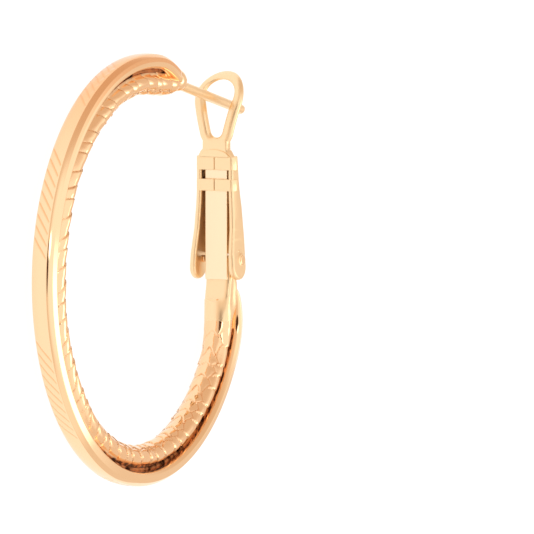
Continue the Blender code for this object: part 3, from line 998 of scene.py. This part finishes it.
@dataclass
class HingeBase:
    """The bar that carries on from the strand and holds the rivet."""

    strand: ScaleStrand
    reach: float = 15.505
    width: float = 2.8
    head_radius: float = 0.49
    length: float = 4.8
    forward: float = 0.8
    backward: float = 1.4
    straight_share: float = 0.44
    front: tuple[float, float] = (1.0, 0.73)
    back: tuple = ((1.0, 0.92), (0.93, 0.46), (0.57, 0.21))
    tail: tuple = ((-0.3, -6.2), (-0.05, -7.5), (0.6, -7.0))
    tail_from: float = 3.2
    tail_reach: float = 4.2
    tail_narrowing: float = 0.3
    round_off: float = 0.42
    head_steps: int = 16
    sleeve_from_deg: float = 334.0
    sleeve_over: float = 0.05
    sleeve_rise: float = 1.6
    sleeve_crowd_deg: float = 3.0
    sleeve_step_deg: float = 0.6
    sleeve_sides: int = 48
    grain: float = 0.09
    passes: int = 55

    def sleeve(self, angle_deg: float, direction: float) -> Vector:
        """A point of the plain sleeve that comes up out of the strand's end."""
        along = math.radians(angle_deg - self.sleeve_from_deg) * self.strand.radius
        full = math.sqrt(1.0 - (1.0 - min(1.0, max(0.0, along / self.sleeve_rise))) ** 2)
        out = math.cos(direction) * full * (self.strand.thickness / 2 + self.sleeve_over)
        side = math.sin(direction) * full * (self.strand.width / 2 + self.sleeve_over)
        return on_hoop(self.strand.centre_radius(angle_deg) + out, angle_deg, self.strand.shift + side)

    def outline(self) -> list[tuple[float, float]]:
        """The bar from the side, about the hoop's centre."""
        points = []
        for step in range(self.head_steps + 1):
            angle = math.pi * step / self.head_steps
            points.append((self.head_radius * math.cos(angle), self.head_radius * math.sin(angle)))
        points.append((-self.head_radius, -self.length * self.straight_share))
        points.append((-self.forward * self.front[0], -self.length * self.front[1]))
        points += [*self.tail, *((self.backward * back, -self.length * drop) for back, drop in self.back)]
        return [(self.reach + back, height) for back, height in points]

    def build(self, bench: Bench) -> None:
        """Make the bar, melted onto a sleeve round the strand's end."""
        bar = plate(self.outline(), -self.width / 2, self.width / 2, self.round_off)
        for vert in bar.verts:
            down = ease((-vert.co.y - self.tail_from) / self.tail_reach)
            vert.co.z = vert.co.z * (1.0 - self.tail_narrowing * down) + self.strand.shift * down
        stations = rounded_ends(
            self.sleeve_from_deg, self.strand.end_deg, self.sleeve_crowd_deg, self.sleeve_step_deg
        )
        sleeve = tube(stations, self.sleeve_sides, self.sleeve)
        bm = melted(gather([bar, sleeve]), self.grain, self.passes)
        bench.piece("hinge_base", bm, Body.HOOP, Slot.POLISHED, CLIP_GOLD, "hoop", MELTED_SHARP_DEG)


@dataclass
class ClipLever:
    """The folded housing with its tabs, and the stem and loop that rise from it."""

    width: float = 3.8
    eye_width: float = 4.6
    sheet: float = 0.5
    back_sheet: float = 0.3
    height: float = 10.016
    front: float = -1.13
    rear: float = 0.02
    eye_radius: float = 1.3
    eye_forward: float = 0.4
    eye_drop: float = 0.55
    back_open: float = 0.5
    back_rim: float = 0.02
    back_shade: tuple[float, float] = (0.2, 0.4)
    cheek_shade: tuple[float, float] = (0.5, 0.4)
    splay_share: float = 0.64
    splay_ease: float = 0.9
    splay_cuts: int = 24
    outline_rows: tuple = (
        (0.05, 0.98, 1.00),
        (0.19, 0.55, 1.00),
        (0.29, 0.20, 0.95),
        (0.50, 0.00, 0.80),
        (0.76, 0.00, 0.33),
        (0.968, 0.00, 0.03),
    )
    edge_round: float = 0.22
    eye_steps: int = 20
    tab_back: float = -0.83
    tab_thickness: float = 0.33
    tab_proud: float = 0.03
    tab_seam: float = 0.04
    tab_rows: tuple = ((0.35, 1.28), (2.46, 1.12))
    tab_round: float = 0.3
    tab_rim: float = 0.07
    tab_corner_deg: float = 60.0
    wrap_depth: float = 0.5
    wrap_thickness: float = 0.3
    wrap_flare: float = 0.14
    wrap_lap: float = 0.1
    wrap_round: float = 0.05
    collar_rise: float = 0.76
    collar_reach: float = 1.56
    collar_foot: float = 9.55
    collar_front: float = -0.64
    collar_back: float = -0.1
    collar_rim: float = 0.08
    collar_edge: float = 0.06
    collar_painted_shade: float = 0.4
    collar_steps: int = 28
    stem_width: float = 2.6
    stem_thickness: float = 0.9
    stem_centre: float = -0.67
    stem_below: float = 0.4
    stem_round: float = 0.12
    panel_back: float = -0.6
    shoulder_inset: float = 0.1
    shoulder_foot: float = 1.4
    shoulder_bend: float = 0.35
    shoulder_top: float = 0.25
    shoulder_spread: float = 0.15
    shoulder_depth: tuple[float, float] = (-0.45, 0.25)
    wire_width: float = 1.1
    wire_thickness: float = 0.85
    wire_thinning: float = 0.28
    thin_below: float = 0.8
    thin_over: float = 2.2
    loop_width: float = 4.95
    loop_rise: float = 5.4
    foot_rise: float = 2.45
    foot_radius: float = 1.2
    sweep: float = 2.35
    dimple: tuple[float, float] = (-0.45, 0.80)
    dimple_radius: float = 0.19
    dimple_shade: tuple[float, float] = (0.02, 0.08)
    boss_radius: float = 0.66
    boss_height: float = 0.10
    boss_root: float = 0.3
    boss_lip: float = 0.06
    boss_flat_share: float = 0.62
    grain: float = 0.06
    loop_passes: int = 9
    loop_steps: int = 120

    @property
    def stem_foot(self) -> float:
        """The height of the stem's foot."""
        return self.height - self.stem_below

    def row(self, share: float, front_share: float, back_share: float) -> tuple[float, float, float]:
        """Front, back and height of the housing for one row of its outline."""
        front = self.front + (-self.eye_forward - self.eye_radius - self.front) * front_share
        back = self.rear + (-self.eye_forward + self.eye_radius - self.rear) * back_share
        return front, back, self.height * share

    def outline(self) -> list[tuple[float, float]]:
        """The cheek from the side, anticlockwise from the back of the eye."""
        rows = [self.row(*shares) for shares in self.outline_rows]
        points = [(back, height) for _, back, height in rows]
        points += [(front, height) for front, _, height in reversed(rows)]
        for step in range(self.eye_steps + 1):
            angle = math.pi * (1 + step / self.eye_steps)
            across = self.eye_radius * math.cos(angle) - self.eye_forward
            points.append((across, self.eye_radius * math.sin(angle) - self.eye_drop))
        return points

    def splayed(self, bm: bmesh.types.BMesh) -> bmesh.types.BMesh:
        """Widen the lower part, down to the eye's full width.

        Args:
            bm: A mesh of the housing.

        Returns:
            The same mesh.
        """
        bend = self.height * self.splay_share
        for number in range(self.splay_cuts + 1):
            level = (bend + self.splay_ease) * number / self.splay_cuts
            everything = bm.verts[:] + bm.edges[:] + bm.faces[:]
            bmesh.ops.bisect_plane(bm, geom=everything, plane_co=(0, level, 0), plane_no=(0, 1, 0), dist=MM)
        for vert in bm.verts:
            below = bend - vert.co.y
            if abs(below) < self.splay_ease:
                below = (below + self.splay_ease) ** 2 / (4 * self.splay_ease)
            vert.co.z *= 1.0 + (self.eye_width / self.width - 1.0) * max(0.0, below) / bend
        return bm

    def cheek(self, side: int) -> bmesh.types.BMesh:
        """One side wall with the low boss round its rivet, with dark shade painted on its inner face and in
        its dimple.

        Args:
            side: 1 for the upper side as it lies, -1 for the lower.

        Returns:
            The wall.
        """
        low, high = sorted((side * self.width / 2, side * (self.width / 2 - self.sheet)))
        wall = self.splayed(plate(self.outline(), low, high, self.edge_round))
        face = self.eye_width / 2
        bmesh.ops.recalc_face_normals(wall, faces=wall.faces[:])
        if side > 0:
            pit = bmesh.new()
            bmesh.ops.create_uvsphere(pit, u_segments=24, v_segments=12, radius=self.dimple_radius)
            bmesh.ops.translate(pit, verts=pit.verts[:], vec=(*self.dimple, face))
            wall = cut_out(wall, pit)
        wall.normal_update()
        pit_middle = Vector((*self.dimple, face))

        def shade(vert: bmesh.types.BMVert) -> float:
            """How much dark shade is painted at a point: on the wall's inner face and in its dimple."""
            around, under = self.dimple_shade
            near = (vert.co - pit_middle).length < self.dimple_radius + around
            start, reach = self.cheek_shade
            inner = ease((-side * vert.normal.z - start) / reach)
            return max(float(near and vert.co.z < face - under), inner)

        # Dark shade painted on the inner face and in the dimple
        mark(wall, "deep_shade", shade)
        profile = [(0.0, face - self.boss_root), (self.boss_radius, face - self.boss_root)]
        for step in range(7):
            angle = math.pi / 2 * step / 6
            across = self.boss_flat_share + (1.0 - self.boss_flat_share) * math.cos(angle)
            up = (self.boss_height + self.boss_lip) * math.sin(angle) - self.boss_lip
            profile.append((self.boss_radius * across, face + up))
        boss = turned(profile + [(0.0, face + self.boss_height)], 48)
        if side < 0:
            bmesh.ops.scale(boss, verts=boss.verts[:], vec=(1.0, 1.0, -1.0))
        return gather([wall, boss])

    def back_plate(self) -> bmesh.types.BMesh:
        """The wall behind the leaf, between the cheeks, with dark shade painted on its face towards the
        leaf.
        """
        rows = [self.row(*shares) for shares in self.outline_rows]
        above = [(back, height) for _, back, height in rows if height > self.back_open]
        lowest = (rows[0][1], self.back_open)
        rear = [lowest, *above]
        inner = [(back - self.back_sheet, height) for back, height in reversed(rear)]
        half = self.width / 2 - self.sheet / 2
        wall = self.splayed(plate(rear + inner, -half, half, self.back_rim))
        bmesh.ops.recalc_face_normals(wall, faces=wall.faces[:])
        wall.normal_update()
        start, reach = self.back_shade
        # Dark shade painted on the face towards the leaf
        mark(wall, "deep_shade", lambda vert: ease((-vert.normal.x - start) / reach))
        return wall

    def collar(self) -> bmesh.types.BMesh:
        """The lens-shaped turn of sheet over the upper tabs, with shade painted on all but its front rim.
        """
        arc = [math.pi * step / self.collar_steps for step in range(self.collar_steps + 1)]
        outline = [
            (self.collar_foot + self.collar_rise * math.sin(angle), self.collar_reach * math.cos(angle))
            for angle in arc
        ]
        bm = plate(outline, self.collar_front, self.collar_back, self.collar_rim)
        # Shade painted behind the front rim: warmer in full, and dark in part
        for name, share in (("hollow_shade", 1.0), ("deep_shade", self.collar_painted_shade)):
            mark(bm, name, lambda vert: share * ease((vert.co.z - self.collar_front) / self.collar_edge))
        bmesh.ops.transform(bm, matrix=self.stand_up, verts=bm.verts[:])
        return bm

    @property
    def stand_up(self) -> Matrix:
        """Stands a plate drawn as up and across behind the housing's front."""
        return Matrix(((0, 0, 1, self.panel_back), (1, 0, 0, 0), (0, 1, 0, 0), (0, 0, 0, 1)))

    def tab(self, drop: float, height: float, side: int) -> bmesh.types.BMesh:
        """One tab, folded in from a cheek to the seam in the middle.

        Args:
            drop: How far its top lies under the housing's top.
            height: Its height.
            side: 1 or -1.

        Returns:
            The tab.
        """
        reach = self.width / 2 + self.tab_proud - self.tab_seam / 2
        middle_x = self.tab_back - self.tab_thickness / 2
        middle = (middle_x, self.height - drop - height / 2, side * (self.tab_seam / 2 + reach / 2))
        bm = block((self.tab_thickness, height, reach), middle)
        fold = [
            edge
            for edge in bm.edges
            if all(vert.co.x < middle_x and vert.co.z * side > middle[2] * side for vert in edge.verts)
        ]
        soften(bm, fold, self.tab_round, 6)
        corner = math.radians(self.tab_corner_deg)
        flat_rims = [edge for edge in bm.edges if edge.calc_face_angle(0.0) > corner]
        soften(bm, flat_rims, self.tab_rim, 3)
        inside = Vector((1.0, height / 2 - self.tab_rim / 2, reach / 2 - self.tab_rim / 2))

        def rim(vert: bmesh.types.BMVert) -> float:
            """Whether a point lies on the tab's rim, but not on its fold, where warmer shade is painted."""
            away = vert.co - Vector(middle)
            return float(abs(away.y) > inside.y or -away.z * side > inside.z)

        # Warmer painted shade along the tab's rims
        mark(bm, "hollow_shade", rim)
        return gather([bm, self.wrap(middle[1], height, side)])

    def wrap(self, middle_y: float, height: float, side: int) -> bmesh.types.BMesh:
        """The stretch of a tab that still lies along its cheek, flared a little.

        Args:
            middle_y: The height of its middle.
            height: Its height.
            side: 1 or -1.

        Returns:
            The stretch.
        """
        start = self.tab_back - self.wrap_lap
        outside = self.width / 2 + self.tab_proud
        middle = (start + self.wrap_depth / 2, middle_y, side * (outside - self.wrap_thickness / 2))
        bm = block((self.wrap_depth, height, self.wrap_thickness), middle)
        for vert in bm.verts:
            if vert.co.x > middle[0] and vert.co.z * side > middle[2] * side:
                vert.co.z += side * self.wrap_flare
        soften(bm, bm.edges[:], self.wrap_round, 2)
        return bm

    def pear(self, along: float) -> tuple[float, float, float]:
        """A place on the loop's centre line.

        Args:
            along: From 0 to 1 round the loop, from the start of the top arc.

        Returns:
            Across, up, and the way that faces out of the loop, in radians.
        """
        top = (self.loop_width - self.wire_width) / 2
        side = math.asin((top - self.foot_radius) / (self.loop_rise - self.foot_rise))
        straight = (self.loop_rise - self.foot_rise) * math.cos(side)
        lengths = (top * (math.pi + 2 * side), straight, self.foot_radius * (math.pi - 2 * side), straight)
        left = along * sum(lengths)
        starts = ((-side, top, self.loop_rise), (math.pi + side, self.foot_radius, self.foot_rise))
        for number, length in enumerate(lengths):
            if left <= length or number == 3:
                break
            left -= length
        if number in (0, 2):
            first, radius, rise = starts[number // 2]
            angle = first + left / radius
            return radius * math.cos(angle), rise + radius * math.sin(angle), angle
        first, radius, rise = starts[0] if number == 1 else starts[1]
        angle = math.pi + side if number == 1 else -side
        from_x = radius * math.cos(angle)
        from_y = rise + radius * math.sin(angle)
        heading = angle + math.pi / 2
        return from_x + left * math.cos(heading), from_y + left * math.sin(heading), angle

    def loop_point(self, along: float, direction: float) -> Vector:
        """A point of the loop's skin, swept back towards its top.

        Args:
            along: From 0 to 1 round the loop.
            direction: The angle round the wire.

        Returns:
            The point.
        """
        across, up, facing = self.pear(along % 1.0)
        thinner = self.wire_thinning * ease((up - self.loop_rise + self.thin_below) / self.thin_over)
        out = self.wire_width / 2 * (math.cos(direction) * (1.0 - thinner) + thinner)
        depth = self.wire_thickness / 2 * math.sin(direction)
        across += out * math.cos(facing)
        up += out * math.sin(facing)
        rise = max(0.0, up) / (self.loop_rise + self.loop_width / 2)
        return Vector((self.stem_centre + depth + self.sweep * rise**4, self.stem_foot + up, across))

    def loop(self) -> bmesh.types.BMesh:
        """The pear loop, the stem under it and the shoulders, as one skin."""
        wire = tube([step / self.loop_steps for step in range(self.loop_steps + 1)], 24, self.loop_point)
        length = self.foot_rise - self.foot_radius + self.wire_width / 4
        middle = (self.stem_centre, self.stem_foot + length / 2, 0.0)
        stem = block((self.stem_thickness, length, self.stem_width), middle)
        soften(stem, stem.edges[:], self.stem_round, 2)
        side = self.width / 2 - self.shoulder_inset
        half_outline = [
            (side, self.height - self.shoulder_foot),
            (side, self.height - self.shoulder_bend),
            (self.stem_width / 2 + self.shoulder_spread, self.height + self.shoulder_top),
        ]
        corners = half_outline + [(-across, up) for across, up in reversed(half_outline)]
        outline = [(up, across) for across, up in corners]
        shoulder = plate(outline, *self.shoulder_depth, self.shoulder_inset)
        bmesh.ops.transform(shoulder, matrix=self.stand_up, verts=shoulder.verts[:])
        return melted(gather([wire, stem, shoulder]), self.grain, self.loop_passes)

    def build(self, bench: Bench) -> None:
        """Make the lever's pieces."""
        style = (Body.CLIP, Slot.CLIP, CLIP_GOLD, "clip_lever")
        bench.piece("clip_cheek_upper", self.cheek(1), *style, flats=True)
        bench.piece("clip_cheek_lower", self.cheek(-1), *style, flats=True)
        bench.piece("clip_back", self.back_plate(), *style, flats=True)
        tabs = [self.tab(drop, height, side) for drop, height in self.tab_rows for side in (-1, 1)]
        bench.piece("clip_tabs", gather(tabs), *style, flats=True)
        bench.piece("clip_collar", self.collar(), *style, flats=True)
        bench.piece("clip_loop", self.loop(), *style, MELTED_SHARP_DEG)


@dataclass
class ClipLeaf:
    """The rolled leaf spring behind the tabs."""

    front: float = -0.75
    rear: float = -0.57
    width: float = 2.3
    top: float = 9.416
    tail: float = 1.85
    round_off: float = 0.06

    def build(self, bench: Bench) -> None:
        """Make the leaf."""
        middle = ((self.front + self.rear) / 2, (self.top - self.tail) / 2, 0.0)
        bm = block((self.rear - self.front, self.top + self.tail, self.width), middle)
        soften(bm, bm.edges[:], self.round_off, 3)
        bench.piece("clip_leaf", bm, Body.CLIP, Slot.SPRING, LEAF_GOLD, "clip_spring", flats=True)


@dataclass
class HingeRivet:
    """The rivet through the cheeks and the hinge base."""

    shank: float = 0.20
    head: float = 0.475
    seat: float = 2.36
    head_height: float = 0.12
    flat_share: float = 0.7
    collar: float = 0.34
    collar_from: float = 1.42
    collar_to: float = 1.72
    steps: int = 40
    collar_turns: int = 8
    head_turns: int = 4

    def half(self) -> list[tuple[float, float]]:
        """The profile from the middle of the shank to the middle of a head."""
        top = self.seat + self.head_height
        points = []
        for step in range(self.collar_turns + 1):
            angle = math.pi * step / self.collar_turns
            height = self.collar_from + (self.collar_to - self.collar_from) * (1 - math.cos(angle)) / 2
            points.append((self.shank + (self.collar - self.shank) * math.sin(angle), height))
        points += [(self.shank, self.seat), (self.head, self.seat)]
        for step in range(self.head_turns + 1):
            angle = math.pi / 2 * step / self.head_turns
            across = self.head * self.flat_share + self.head * (1 - self.flat_share) * math.cos(angle)
            points.append((across, top - self.head_height / 2 + self.head_height / 2 * math.sin(angle)))
        return points + [(0.0, top)]

    def build(self, bench: Bench) -> None:
        """Make the rivet."""
        half = self.half()
        profile = [(radius, -height) for radius, height in reversed(half)] + half
        bm = turned(profile, self.steps)
        bench.piece("hinge_rivet", bm, Body.CLIP, Slot.POLISHED, MIRROR_GOLD, "hinge_pin", flats=True)


# Studio


@dataclass(frozen=True)
class LightCard:
    """A soft-edged patch of the surroundings, lighter or darker than the rest."""

    towards: tuple[float, float, float]
    half_angle_deg: float
    edge_deg: float
    radiance: tuple[float, float, float]


@dataclass
class Studio:
    """A pale lit floor and even studio surroundings with a few soft cards."""

    floor_half: float = 1.5
    floor_drop: float = 0.00002
    floor_colour: tuple[float, float, float] = (0.20, 0.20, 0.20)
    floor_glow: float = 0.93
    floor_roughness: float = 0.9
    radiance: tuple[float, float, float] = (0.90, 0.77, 0.66)
    cards: tuple[LightCard, ...] = (
        LightCard((0.0, 0.0, 1.0), 52.0, 9.0, (1.16, 1.14, 1.10)),
        LightCard((0.35, 0.86, 0.38), 34.0, 20.0, (0.80, 0.63, 0.50)),
        LightCard((-0.20, -0.80, 0.40), 18.0, 12.0, (1.10, 1.02, 0.94)),
        LightCard((0.50, -0.25, 0.80), 13.0, 3.0, (2.6, 2.55, 2.4)),
        LightCard((-0.883, 0.073, 0.463), 13.0, 2.5, (0.07, 0.025, 0.012)),
        LightCard((-0.71, 0.217, 0.669), 5.5, 1.5, (2.8, 2.8, 2.8)),
    )

    def floor(self) -> None:
        """The plain pale floor."""
        bm = bmesh.new()
        bmesh.ops.create_grid(bm, x_segments=1, y_segments=1, size=self.floor_half)
        bmesh.ops.translate(bm, verts=bm.verts[:], vec=(0.0, 0.0, -self.floor_drop))
        mesh = bpy.data.meshes.new("floor")
        bm.to_mesh(mesh)
        bm.free()
        material = bpy.data.materials.new("floor_paper")
        material.use_nodes = True
        desk = ShaderDesk(material.node_tree)
        paper = {"Base Color": (*self.floor_colour, 1.0), "Roughness": self.floor_roughness}
        values = paper | {"Specular IOR Level": 0.0}
        glow = {"Emission Color": (1.0, 1.0, 1.0, 1.0), "Emission Strength": self.floor_glow}
        shader = desk.node("ShaderNodeBsdfPrincipled", {}, values | glow)
        desk.node("ShaderNodeOutputMaterial", {}, {"Surface": shader.outputs["BSDF"]})
        mesh.materials.append(material)
        thing = bpy.data.objects.new("floor", mesh)
        bpy.context.scene.collection.objects.link(thing)

    def surroundings(self) -> None:
        """The light from all round, with each card laid over it."""
        world = bpy.data.worlds.new("studio")
        world.use_nodes = True
        desk = ShaderDesk(world.node_tree)
        towards = desk.node("ShaderNodeTexCoord").outputs["Generated"]
        light: tuple | bpy.types.NodeSocket = self.radiance
        for card in self.cards:
            facing = desk.node(
                "ShaderNodeVectorMath",
                {"operation": "DOT_PRODUCT"},
                {0: towards, 1: tuple(Vector(card.towards).normalized())},
            ).outputs["Value"]
            outer = math.cos(math.radians(card.half_angle_deg + card.edge_deg))
            inner = math.cos(math.radians(card.half_angle_deg - card.edge_deg))
            share = desk.node(
                "ShaderNodeMapRange",
                {"interpolation_type": "SMOOTHSTEP"},
                {"Value": facing, "From Min": outer, "From Max": inner},
            ).outputs["Result"]
            light = desk.blend(desk.number(share), light, card.radiance)
        shine = desk.node("ShaderNodeBackground", {}, {"Color": light})
        desk.node("ShaderNodeOutputWorld", {}, {"Surface": shine.outputs["Background"]})
        bpy.context.scene.world = world

    def build(self) -> None:
        """Lay the floor and set the light and how the picture is developed."""
        self.floor()
        self.surroundings()
        view = bpy.context.scene.view_settings
        view.view_transform = "Standard"
        view.look = "None"
        LOG.info("studio: floor and %d cards", len(self.cards))


@dataclass
class Viewpoint:
    """The camera, at the photograph's angle to the hoop and in its framing."""

    towards: tuple[float, float, float] = (-0.8834, 0.0732, 0.4628)
    upwards: tuple[float, float, float] = (0.0647, 0.997, -0.0339)
    distance: float = 1.5
    picture_width: float = 0.04927
    hoop_left_of_middle: float = 0.011484
    hoop_below_middle: float = 0.000277

    def build(self, middle: Vector) -> None:
        """Make the camera.

        Args:
            middle: The hoop's centre, in metres.
        """
        back = Vector(self.towards).normalized()
        up = Vector(self.upwards).normalized()
        right = up.cross(back).normalized()
        place = middle + back * self.distance
        target = middle + right * self.hoop_left_of_middle + up * self.hoop_below_middle
        look = (place - target).normalized()
        across = up.cross(look).normalized()
        rotation = Matrix((across, look.cross(across), look)).transposed().to_4x4()
        data = bpy.data.cameras.new("camera")
        data.lens = data.sensor_width * self.distance / self.picture_width
        camera = bpy.data.objects.new("camera", data)
        bpy.context.scene.collection.objects.link(camera)
        camera.matrix_world = Matrix.Translation(place) @ rotation
        bpy.context.scene.camera = camera


def main() -> None:
    """Build the earring's sub-assemblies in order, then the studio and camera."""
    logging.basicConfig(level=logging.INFO, format="%(name)s: %(message)s")
    ring = OuterRing()
    strand = ScaleStrand()
    base = HingeBase(strand)
    bench = Bench(Vector(frame["joints"][0]["pos_m"]), base.reach)
    hoop = (ring, strand, CreviceShadeStrip(ring, strand), EarPost(), base)
    for assembly in (*hoop, ClipLever(), ClipLeaf(), HingeRivet()):
        assembly.build(bench)
    Studio().build()
    Viewpoint().build(bench.origin(Body.HOOP))


if __name__ == "__main__":
    main()
